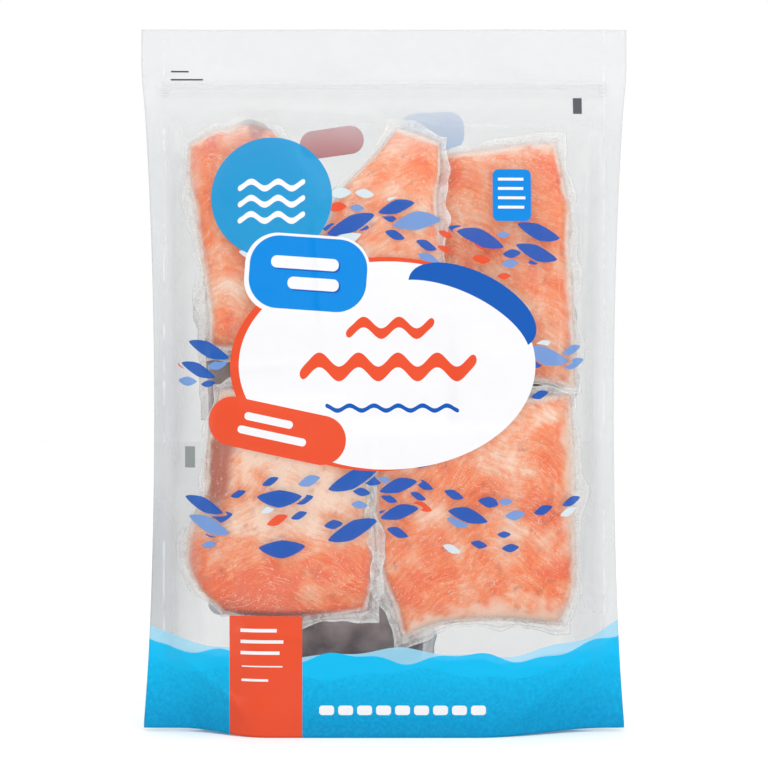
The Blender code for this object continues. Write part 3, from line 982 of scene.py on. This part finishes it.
def wave_band(tree, x, z, inks):
    """Lays the blue waves at the foot: a pale crest, a bright one and a speckled body, deeper below."""
    rise = side_rise(tree, x)
    pale = below_waves(tree, x, z, rise, *PALE_LINE)
    inks = paint(tree, inks, pale, WAVE_PALE, 0.82)
    bright = below_waves(tree, x, z, rise, *BRIGHT_LINE)
    inks = paint(tree, inks, bright, WAVE_BRIGHT, 0.96)
    place = add_node(tree, "TexCoord", output=3)
    specks = add_node(tree, "TexNoise", {"Vector": place, "Scale": 1 / INK_SPECK, "Detail": 1.0})
    level = add_node(tree, "Math", {0: z, 1: WAVE_FADE}, operation="DIVIDE")
    level = add_node(tree, "Math", {0: specks, 1: 1.1, 2: level}, operation="MULTIPLY_ADD")
    level = add_node(tree, "MapRange", {0: level, 1: 0.55, 2: 1.75})
    blue = add_node(tree, "Mix", {0: level, 6: WAVE_LOW, 7: WAVE_BRIGHT}, output=2, data_type="RGBA")
    deep = below_waves(tree, x, z, rise, *DEEP_LINE)
    return paint(tree, inks, deep, blue, 0.98)


FLOW_LENGTH, FLOW_HEIGHT = 150, 10
LEAF_EXPONENT = 1.4
PEBBLE_LEAST, PEBBLE_MOST, PEBBLE_MARGIN = 0.22, 0.38, 0.07


def pebbles(tree, x, z, inks, clear, cell, phase, share, zone):
    """Lays wavy streams of leaf-shaped pebbles, each in a colour of its own by chance.

    clear is the bare film left round each, cell the space each has, share the part of them that are
    left out, and zone a function that turns a pebble's own place into a mask.
    """
    angle = add_node(tree, "Math", {0: x, 1: 2 * math.pi / FLOW_LENGTH, 2: phase}, operation="MULTIPLY_ADD")
    wave = add_node(tree, "Math", {0: angle}, operation="SINE")
    lowered = add_node(tree, "Math", {0: wave, 1: -FLOW_HEIGHT, 2: z}, operation="MULTIPLY_ADD")
    flowing = add_node(tree, "CombineXYZ", {0: x, 1: lowered})
    squeezed = add_node(tree, "VectorMath", {0: flowing, 1: (*cell, 1)}, operation="DIVIDE")
    reach, colours, centre = add_node(tree, "TexVoronoi", {
        "Vector": squeezed, "Scale": 1.0, "Exponent": LEAF_EXPONENT, "Randomness": 0.55,
    }, voronoi_dimensions="2D", distance="MINKOWSKI").node.outputs[:3]
    sized, tinted, left_out = add_node(tree, "SeparateColor", {0: colours}).node.outputs
    size = add_node(tree, "MapRange", {0: sized, 3: PEBBLE_LEAST, 4: PEBBLE_MOST})
    inside = add_node(tree, "Math", {0: reach, 1: size}, operation="LESS_THAN")
    margin = add_node(tree, "Math", {0: size, 1: PEBBLE_MARGIN}, operation="ADD")
    margin = add_node(tree, "Math", {0: reach, 1: margin}, operation="LESS_THAN")
    home = add_node(tree, "VectorMath", {0: centre, 1: (*cell, 1)}, operation="MULTIPLY")
    kept = add_node(tree, "Math", {0: left_out, 1: share}, operation="GREATER_THAN")
    kept = add_node(tree, "Math", {0: kept, 1: zone(home)}, operation="MULTIPLY")
    margin = add_node(tree, "Math", {0: margin, 1: kept}, operation="MULTIPLY")
    mask = add_node(tree, "Math", {0: inside, 1: kept}, operation="MULTIPLY")

    ramp = tree.nodes.new("ShaderNodeValToRGB")
    ramp.color_ramp.interpolation = "CONSTANT"
    stops = ((0.0, INK_DEEP), (0.52, INK_MID), (0.76, INK_ICE), (0.88, INK_ORANGE))
    while len(ramp.color_ramp.elements) < len(stops):
        ramp.color_ramp.elements.new(0.5)
    for stop, (position, colour) in zip(ramp.color_ramp.elements, stops):
        stop.position = position
        stop.color = colour
    tree.links.new(tinted, ramp.inputs["Fac"])
    inks = paint(tree, inks, margin, *clear)
    return paint(tree, inks, mask, ramp.outputs[0], 0.94)


FILM_MILK = linear("#DBDEDF")
# The grey of the painted shade on the film's left side
FILM_PAINTED_SHADE = linear("#9FA5AA")
HEADER_MILK = linear("#E1E2E3")
HEADER_FROM, HEADER_FULL = 282, 316
SEAL_FROM, SEAL_FULL = 88, 104
SEAL_LINE, SEAL_LINE_HALF = 108.8, 0.6
# Painted shade on the film's left: where it starts and is full across, and the heights where it is least and
# full, in mm
PAINTED_SHADE_FROM, PAINTED_SHADE_FULL = -80, -116
PAINTED_SHADE_TOP, PAINTED_SHADE_LOW = 250, 120
SCUFF_SIZE = 28 * MM
# Size of the milky streaks at the seals, which are partly painted highlight
SEAL_STREAK_WIDE, SEAL_STREAK_LONG = 15 * MM, 70 * MM


def clear_haze(tree, x, z):
    """The unprinted film's colour and milkiness: a little all over, more at header and seals; painted shade
    at left.
    """
    place = add_node(tree, "TexCoord", output=3)
    scuffs = add_node(tree, "TexNoise", {
        "Vector": place, "Scale": 1 / SCUFF_SIZE, "Detail": 2.0, "Roughness": 0.6, "Distortion": 0.8,
    })
    haze = add_node(tree, "MapRange", {0: scuffs, 1: 0.3, 2: 0.7, 3: 0.01, 4: 0.07})
    header = add_node(tree, "MapRange", {0: z, 1: HEADER_FROM, 2: HEADER_FULL})

    # Long milky streaks at the side seals: partly the seals' own haze, partly painted highlight of soft
    # folds.
    drawn = add_node(tree, "Mapping", {"Vector": place, "Scale": (1 / SEAL_STREAK_WIDE, 1, 1 / SEAL_STREAK_LONG)})
    seal_haze_and_highlight = add_node(tree, "TexNoise", {"Vector": drawn, "Scale": 1.0, "Detail": 1.0})
    seal_haze_and_highlight = add_node(tree, "MapRange", {0: seal_haze_and_highlight, 1: 0.35, 2: 0.65, 3: 0.20, 4: 0.48})
    out = add_node(tree, "Math", {0: x}, operation="ABSOLUTE")
    seal = add_node(tree, "MapRange", {0: out, 1: SEAL_FROM, 2: SEAL_FULL})
    seal = add_node(tree, "Math", {0: seal, 1: seal_haze_and_highlight}, operation="MULTIPLY")
    line = add_node(tree, "Math", {0: out, 1: SEAL_LINE, 2: SEAL_LINE_HALF}, operation="COMPARE")
    broken = add_node(tree, "MapRange", {0: scuffs, 1: 0.47, 2: 0.6, 3: 0.0, 4: 0.34})
    line = add_node(tree, "Math", {0: line, 1: broken}, operation="MULTIPLY")
    cloudy = add_node(tree, "Math", {0: header, 1: 0.52}, operation="MULTIPLY")
    cloudy = add_node(tree, "Math", {0: cloudy, 1: seal}, operation="MAXIMUM")
    cloudy = add_node(tree, "Math", {0: line, 1: 0.8, 2: cloudy}, operation="MULTIPLY_ADD")

    # Painted shade: the milk turns grey towards the left side and lower down, where the pouch lies in shade.
    shade = add_node(tree, "MapRange", {0: x, 1: PAINTED_SHADE_FROM, 2: PAINTED_SHADE_FULL, 3: 0.0, 4: 0.75})
    low = add_node(tree, "MapRange", {0: z, 1: PAINTED_SHADE_TOP, 2: PAINTED_SHADE_LOW, 3: 0.2, 4: 1.0})
    shade = add_node(tree, "Math", {0: shade, 1: low}, operation="MULTIPLY")
    shade = add_node(tree, "Math", {0: shade, 1: line}, operation="SUBTRACT", use_clamp=True)
    colour = add_node(tree, "Mix", {0: shade, 6: FILM_MILK, 7: FILM_PAINTED_SHADE}, output=2, data_type="RGBA")
    colour = add_node(tree, "Mix", {0: header, 6: colour, 7: HEADER_MILK}, output=2, data_type="RGBA")
    return colour, add_node(tree, "Math", {0: haze, 1: cloudy}, operation="ADD", use_clamp=True)


FILM_CRINKLE = 7 * MM
INKED_BELOW, CLEAR_ABOVE = 36 * MM, 44 * MM
SHADE_CLEAR, SHADE_INKED = (0.86, 0.86, 0.86, 1), (0.05, 0.18, 0.28, 1)


def film_surface(tree, inks):
    """Printed or clear film: ink and haze over what lies behind, under a glossy face."""
    colour, cover = inks
    place = add_node(tree, "TexCoord", output=3)
    crinkle = add_node(tree, "TexNoise", {
        "Vector": place, "Scale": 1 / FILM_CRINKLE, "Detail": 2.0, "Roughness": 0.5, "Distortion": 0.4,
    })
    bump = add_node(tree, "Bump", {"Strength": 0.22, "Distance": 0.5 * MM, "Height": crinkle})
    ink = add_node(tree, "BsdfPrincipled", {
        "Base Color": colour, "Roughness": 0.6, "Normal": bump, "Specular IOR Level": 0.0,
    })
    clear = add_node(tree, "BsdfTransparent", {"Color": (0.97, 0.973, 0.975, 1)})
    body = add_node(tree, "MixShader", {0: cover, 1: clear, 2: ink})
    height = add_node(tree, "SeparateXYZ", {0: place}, output=2)
    flooded = add_node(tree, "MapRange", {0: height, 1: CLEAR_ABOVE, 2: INKED_BELOW})
    tint = add_node(tree, "Mix", {0: flooded, 6: SHADE_CLEAR, 7: SHADE_INKED}, output=2, data_type="RGBA")
    return plainly_shading(tree, glossed(tree, body, bump, 0.2, 0.01), tint)


# The front panel's print, from its lowest ink to its highest
MARK_INKS = [linear(colour) for colour in ("#55565A", "#898E8F", "#4A4B50")]


def lay_streams(tree, x, z, inks):
    """Small and large pebbles, in three level streams which their flow bends into waves."""

    def in_streams(home):
        upper = ellipse(tree, home, (10, 244), (82, 13))
        middle = ellipse(tree, home, (0, 186), (105, 19))
        lower = ellipse(tree, home, (-2, 112), (96, 19))
        zone = add_node(tree, "Math", {0: upper, 1: middle}, operation="MAXIMUM")
        return add_node(tree, "Math", {0: zone, 1: lower}, operation="MAXIMUM")

    clear = inks
    inks = pebbles(tree, x, z, inks, clear, (14.5, 7.2), 2.3, 0.30, in_streams)
    return pebbles(tree, x, z, inks, clear, (32, 12.5), 0.6, 0.22, in_streams)


def lay_foot_block(tree, flat, inks):
    """An orange-red block with bars, and a row of dashes beside it on the waves."""
    block = patch(tree, flat, (-57.5, 26.5), (17.8, 32.5), 0.6)
    inks = paint(tree, inks, block, INK_ORANGE, 0.98)
    claims = lines_of_type(tree, flat, (-59, 46.5), (10.8, 8.2), 3, 0.2)
    rule = patch(tree, flat, (-59.2, 34.5), (10, 0.3), 0.2)
    note = patch(tree, flat, (-62.8, 27.8), (6.6, 0.6), 0.5)
    across = rows_of(tree, flat, (9, 13.5), 9.2, 9, 90.0)
    dashes = patch(tree, across, (0, 0), (2.3, 3.6), 1.5)
    for mask in (claims, rule, note, dashes):
        inks = paint(tree, inks, mask, INK_WHITE)
    return inks


def lay_label(tree, flat, inks):
    """A white oval with an orange-red edge, wavy strokes, and a deep blue crescent at its upper right."""
    edge = ellipse(tree, flat, (-1.5, 181.5), (73.5, 52), 2.0)
    inks = paint(tree, inks, edge, INK_ORANGE)
    label = ellipse(tree, flat, (1.5, 180.8), (72.2, 50.6))
    inks = paint(tree, inks, label, INK_WHITE)
    for place, half, swing, turns, ink in (
        ((3, 199), (21.5, 2.6), 2.8, 2.5, INK_ORANGE),
        ((2, 180), (43, 3.6), 3.4, 4.5, INK_ORANGE),
        ((4, 160), (32.5, 1.1), 1.2, 5.5, INK_DEEP),
    ):
        stroke = wavy_stroke(tree, flat, place, half, swing, turns)
        inks = paint(tree, inks, stroke, ink)

    whole = ellipse(tree, flat, (43, 209.6), (34, 16.5), -27.0)
    bite = ellipse(tree, flat, (34, 198.6), (40, 18.5), -25.0)
    crescent = add_node(tree, "Math", {0: whole, 1: bite}, operation="SUBTRACT", use_clamp=True)
    return paint(tree, inks, crescent, INK_DEEP)


def lay_badges(tree, flat, inks):
    """An orange-red lozenge, a blue disc with ripples, a white-rimmed blue badge and a small blue tag."""
    lozenge = patch(tree, flat, (-52, 149), (34, 12), 11.9, -12.0)
    inks = paint(tree, inks, lozenge, INK_ORANGE, 0.98)
    for place, length in (((-56, 154), 12), ((-54.5, 146.5), 17)):
        bar = patch(tree, flat, place, (length, 1.9), 1.8, -12.0)
        inks = paint(tree, inks, bar, INK_WHITE)

    disc = ellipse(tree, flat, (-55, 263), (29.7, 29.7))
    inks = paint(tree, inks, disc, INK_SKY, 0.95)
    rows = rows_of(tree, flat, (-55, 261), 8, 3)
    ripples = wavy_stroke(tree, rows, (0, 0), (16.5, 1.5), 1.7, 2.5)
    inks = paint(tree, inks, ripples, INK_WHITE)

    rim = patch(tree, flat, (-37.5, 225), (30.5, 19.5), 16, -4.0)
    inks = paint(tree, inks, rim, INK_WHITE)
    badge = patch(tree, flat, (-37, 225.4), (28.7, 17.8), 14.5, -4.0)
    inks = paint(tree, inks, badge, INK_BLUE)
    for (x, z), length in (((-38.5, 230.5), 16.5), ((-34.5, 220.3), 12.5)):
        for ink, drop in ((INK_DEEP, 0.8), (INK_WHITE, 0)):
            bar = patch(tree, flat, (x + drop, z - drop), (length, 3), 2.8, -4.0)
            inks = paint(tree, inks, bar, ink)

    tag = patch(tree, flat, (62.5, 264), (9.4, 12.8), 3)
    inks = paint(tree, inks, tag, INK_BLUE)
    lines = lines_of_type(tree, flat, (62.5, 265), (6.8, 9.2), 4, 0.1)
    return paint(tree, inks, lines, INK_WHITE)


def lay_marks(tree, flat, inks):
    """Small grey marks at the header and the side, as a printer leaves them."""
    for centre, half, ink in (
        ((95.5, 309), (2.2, 4), MARK_INKS[0]),
        ((-95, 136), (2.6, 5.2), MARK_INKS[1]),
        ((-101, 326.2), (4.4, 0.4), MARK_INKS[2]),
        ((-97.5, 322.2), (8, 0.4), MARK_INKS[2]),
    ):
        mark = patch(tree, flat, centre, half, 0.3)
        inks = paint(tree, inks, mark, ink)
    return inks


def front_print():
    material, tree = new_material("printed_polyester_film_front")
    flat, x, z = print_plane(tree)
    inks = lay_streams(tree, x, z, clear_haze(tree, x, z))
    inks = wave_band(tree, x, z, inks)
    for lay in (lay_foot_block, lay_label, lay_badges, lay_marks):
        inks = lay(tree, flat, inks)
    finish_material(tree, film_surface(tree, inks))
    return material


# The back panel: a white field with a heading, rows of bars and a ruled box of facts, and the same waves
# at the foot. Its inside is the plain back of the inks, seen through the clear front.
BACK_WAVE_DROP = 8
FIELD_WHITE = linear("#E4E3E5")
LINE_GREY = linear("#4A4C55")
BACK_RED, BACK_BLUE = linear("#BC4A50"), linear("#6BA3DD")


def lay_story(tree, flat, inks):
    """A blue heading, three blocks of bars and a row of round icons with ripples."""
    heading = patch(tree, flat, (40.5, 232), (41.5, 6.5), 6)
    inks = paint(tree, inks, heading, INK_SKY)
    title = patch(tree, flat, (40.5, 232), (28, 1.7), 1.6)
    inks = paint(tree, inks, title, INK_WHITE)
    for centre, half, count, ink in (
        ((40.5, 206), (39, 15), 6, INK_DEEP),
        ((40.5, 118), (39, 20), 8, LINE_GREY),
        ((-45, 76), (38, 9), 4, INK_DEEP),
    ):
        lines = lines_of_type(tree, flat, centre, half, count, 0.3, 0.32)
        inks = paint(tree, inks, lines, ink)
    for place, ink in ((13, INK_SKY), (40.5, INK_ORANGE), (68, INK_DEEP)):
        disc = ellipse(tree, flat, (place, 164), (11.5, 11.5))
        inks = paint(tree, inks, disc, ink)
        rows = rows_of(tree, flat, (place, 164), 4.8, 2)
        ripples = wavy_stroke(tree, rows, (0, 0), (7, 0.8), 0.9, 2.0)
        inks = paint(tree, inks, ripples, INK_WHITE)
    return inks


def lay_facts(tree, flat, inks):
    """A ruled box with a banner, rules across it and blocks of small bars."""
    for centre, half, ink in (
        ((-45, 165), (38, 72), LINE_GREY),
        ((-45, 165), (37.4, 71.4), FIELD_WHITE),
        ((-45, 229), (34, 3.2), LINE_GREY),
    ):
        box = patch(tree, flat, centre, half, 1)
        inks = paint(tree, inks, box, ink)
    for height in (218, 184, 124):
        rule = patch(tree, flat, (-45, height), (35, 0.8), 0.1)
        inks = paint(tree, inks, rule, LINE_GREY)
    for height, half, count in ((201, 13, 4), (154, 27, 9), (109, 11, 4)):
        facts = lines_of_type(tree, flat, (-45, height), (34, half), count, 0.22, 0.26)
        inks = paint(tree, inks, facts, LINE_GREY)
    return inks


def back_print():
    """The back panel, with its places across counted to the right as it is seen from behind."""
    material, tree = new_material("printed_polyester_film_back")
    flat, x, z = print_plane(tree)
    inks = clear_haze(tree, x, z)
    flat = add_node(tree, "Mapping", {"Vector": flat, "Scale": (-1, 1, 1)})
    field = patch(tree, flat, (0, 151), (88, 95), 6)
    inks = paint(tree, inks, field, FIELD_WHITE, 0.86)
    lozenge = patch(tree, flat, (26, 292), (16, 7), 6.8, -8.0)
    inks = paint(tree, inks, lozenge, BACK_RED, 0.84)
    badge = patch(tree, flat, (-24, 297), (16, 9.5), 8, -3.0)
    inks = paint(tree, inks, badge, BACK_BLUE, 0.62)
    inks = lay_facts(tree, flat, lay_story(tree, flat, inks))
    lowered = add_node(tree, "Math", {0: z, 1: BACK_WAVE_DROP}, operation="ADD")
    inks = wave_band(tree, x, lowered, inks)
    finish_material(tree, film_surface(tree, inks))
    return material


# The gusset: the same film, flooded with the blue of the waves.
GUSSET_CLOUD = 20 * MM


def gusset_print():
    material, tree = new_material("printed_polyester_film_gusset")
    place = add_node(tree, "TexCoord", output=3)
    cloud = add_node(tree, "TexNoise", {"Vector": place, "Scale": 1 / GUSSET_CLOUD, "Detail": 2.0})
    colour = add_node(tree, "Mix", {0: cloud, 6: WAVE_BRIGHT, 7: WAVE_LOW}, output=2, data_type="RGBA")
    finish_material(tree, film_surface(tree, (colour, 0.96)))
    return material


film = make_film()
for look in (front_print(), back_print(), gusset_print()):
    film.data.materials.append(look)
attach(film, "root")
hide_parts("pouch")


# Zip
# A press-to-close zip of extruded polyethylene: a strip with two ribs on each of the back and front panels,
# pressed against each other and welded to the film across the pouch.
ZIP_HALF_LENGTH = 110 * MM
ZIP_STRIP = (7.0 * MM, 0.35 * MM)
ZIP_RIB = (0.9 * MM, 0.55 * MM)
ZIP_RIB_OFFSETS = (-1.7 * MM, 1.7 * MM)
ZIP_WELD = 0.95 * MM
ZIP_STREAK_LONG, ZIP_STREAK_THICK = 40 * MM, MM


def make_zip(name, side):
    """One zip strip: its outline is drawn in section and extruded across the pouch."""
    tall, thick = ZIP_STRIP
    rib_tall, rib_thick = ZIP_RIB
    face = side * ZIP_WELD
    section = [(face, -tall / 2), (face, tall / 2), (face - side * thick, tall / 2)]
    for offset in reversed(ZIP_RIB_OFFSETS):
        top, low = offset + rib_tall / 2, offset - rib_tall / 2
        reach = face - side * (thick + rib_thick)
        section += [(face - side * thick, top), (reach, top), (reach, low), (face - side * thick, low)]
    section.append((face - side * thick, -tall / 2))
    shape = bmesh.new()
    corners = [shape.verts.new((-ZIP_HALF_LENGTH, y, ZIP_HEIGHT + z)) for y, z in section]
    end = shape.faces.new(corners)
    swept = bmesh.ops.extrude_face_region(shape, geom=[end])["geom"]
    moved = [item for item in swept if isinstance(item, bmesh.types.BMVert)]
    bmesh.ops.translate(shape, vec=(2 * ZIP_HALF_LENGTH, 0, 0), verts=moved)
    bmesh.ops.recalc_face_normals(shape, faces=shape.faces)
    return add_shape(name, shape)


def zip_material():
    material, tree = new_material("extruded_polyethylene_zip")
    place = add_node(tree, "TexCoord", output=3)
    stretched = add_node(tree, "Mapping", {
        "Vector": place, "Scale": (1 / ZIP_STREAK_LONG, 1 / ZIP_STREAK_THICK, 1 / ZIP_STREAK_THICK),
    })
    drawn = add_node(tree, "TexNoise", {"Vector": stretched, "Scale": 1.0, "Detail": 2.0})
    milk = add_node(tree, "BsdfPrincipled", {"Base Color": linear("#F6F7F8"), "Roughness": 0.35, "IOR": 1.5})
    clear = add_node(tree, "BsdfTransparent", {"Color": (1, 1, 1, 1)})
    haze = add_node(tree, "MapRange", {0: drawn, 1: 0.3, 2: 0.7, 3: 0.22, 4: 0.34})
    finish_material(tree, add_node(tree, "MixShader", {0: haze, 1: clear, 2: milk}))
    return material


zip_plastic = zip_material()
for name, side in (("zip_strip_front", FRONT), ("zip_strip_back", BACK)):
    strip = make_zip(name, side)
    strip.data.materials.append(zip_plastic)
    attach(strip, "root")
    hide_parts("pouch")


# Floor, light and camera
# A pale floor under soft light from tall boxes at both sides and one above, and a camera level with the
# middle of the pouch.
FLOOR_REACH = 6.0
FLOOR_GLOW = 0.12
FLOOR_GRAIN = 60
# Painted shade: the floor and the sky are a little darker where they are seen through the film
FLOOR_PLAIN, FLOOR_PAINTED_SHADE = 0.90, 0.66
SKY_PLAIN, SKY_PAINTED_SHADE, SKY_FILL = 1.0, 0.84, 0.52
POUCH_MIDDLE = Vector((0, 0, 0.17))
VIEW_DISTANCE = 1.2
VIEW_WIDTH = 0.380
VIEW_HEIGHT = 0.1717
SENSOR = 36.0

floor_shape = bmesh.new()
bmesh.ops.create_grid(floor_shape, x_segments=2, y_segments=2, size=FLOOR_REACH)
floor = add_shape("floor", floor_shape)
floor_paper, floor_tree = new_material("matte_white_paper")
# Painted shade: the floor is darker where it is seen through the film
floor_through = add_node(floor_tree, "LightPath", output=12)
floor_white = add_node(floor_tree, "MapRange", {0: floor_through, 3: FLOOR_PLAIN, 4: FLOOR_PAINTED_SHADE})
floor_white = add_node(floor_tree, "CombineColor", {0: floor_white, 1: floor_white, 2: floor_white})
floor_place = add_node(floor_tree, "TexCoord", output=3)
floor_grain = add_node(floor_tree, "TexNoise", {"Vector": floor_place, "Scale": FLOOR_GRAIN})
floor_rough = add_node(floor_tree, "MapRange", {0: floor_grain, 3: 0.8, 4: 0.95})
floor_look = add_node(floor_tree, "BsdfPrincipled", {
    "Base Color": floor_white, "Roughness": floor_rough,
    "Emission Color": (1, 1, 1, 1), "Emission Strength": FLOOR_GLOW,
})
finish_material(floor_tree, floor_look)
floor.data.materials.append(floor_paper)

world = bpy.data.worlds.new("studio")
world.use_nodes = True
world_tree = world.node_tree
world_tree.nodes.clear()
seen = add_node(world_tree, "LightPath")
# Painted shade: the sky is darker where it is seen through the film
layers = add_node(world_tree, "LightPath", output=12)
through = add_node(world_tree, "Math", {0: layers, 1: 0.5}, operation="GREATER_THAN")
glow = add_node(world_tree, "MapRange", {0: through, 3: SKY_PLAIN, 4: SKY_PAINTED_SHADE})
white = add_node(world_tree, "Background", {"Color": (1, 1, 1, 1), "Strength": glow})
fill = add_node(world_tree, "Background", {"Color": (1, 1, 1, 1), "Strength": SKY_FILL})
shown = add_node(world_tree, "MixShader", {0: seen, 1: fill, 2: white})
world_out = world_tree.nodes.new("ShaderNodeOutputWorld")
world_tree.links.new(shown, world_out.inputs["Surface"])
bpy.context.scene.world = world

for name, place, size, power in (
    ("left_box", (-1.1, -1.0, 0.55), (0.07, 1.3), 2.4),
    ("right_box", (1.2, -0.9, 0.55), (0.07, 1.3), 3.6),
    ("top_box", (0.0, -0.6, 1.5), (1.2, 0.15), 3.0),
):
    data = bpy.data.lights.new(name, "AREA")
    data.shape = "RECTANGLE"
    data.size, data.size_y = size
    data.energy = power
    light = add_object(name, data)
    light.location = place
    aim = POUCH_MIDDLE - Vector(place)
    light.rotation_euler = aim.to_track_quat("-Z", "Y").to_euler()
for name, aim, angle, power in (
    ("front_sky", (-0.2, 1.0, -0.7), 70, 0.97),
    ("high_sky", (0.1, -0.2, -1.0), 80, 0.97),
):
    data = bpy.data.lights.new(name, "SUN")
    data.energy = power
    data.angle = math.radians(angle)
    light = add_object(name, data)
    light.rotation_euler = Vector(aim).to_track_quat("-Z", "Y").to_euler()

lens = bpy.data.cameras.new("camera")
lens.sensor_width = SENSOR
lens.lens = SENSOR * VIEW_DISTANCE / VIEW_WIDTH
camera = add_object("camera", lens)
camera.location = (0, -VIEW_DISTANCE, VIEW_HEIGHT)
camera.rotation_euler = (math.radians(90), 0, 0)
bpy.context.scene.camera = camera
bpy.context.scene.view_settings.view_transform = "Standard"
cycles = bpy.context.scene.cycles
cycles.transparent_max_bounces = 20
cycles.max_bounces = 5
cycles.diffuse_bounces = 2
cycles.glossy_bounces = 2
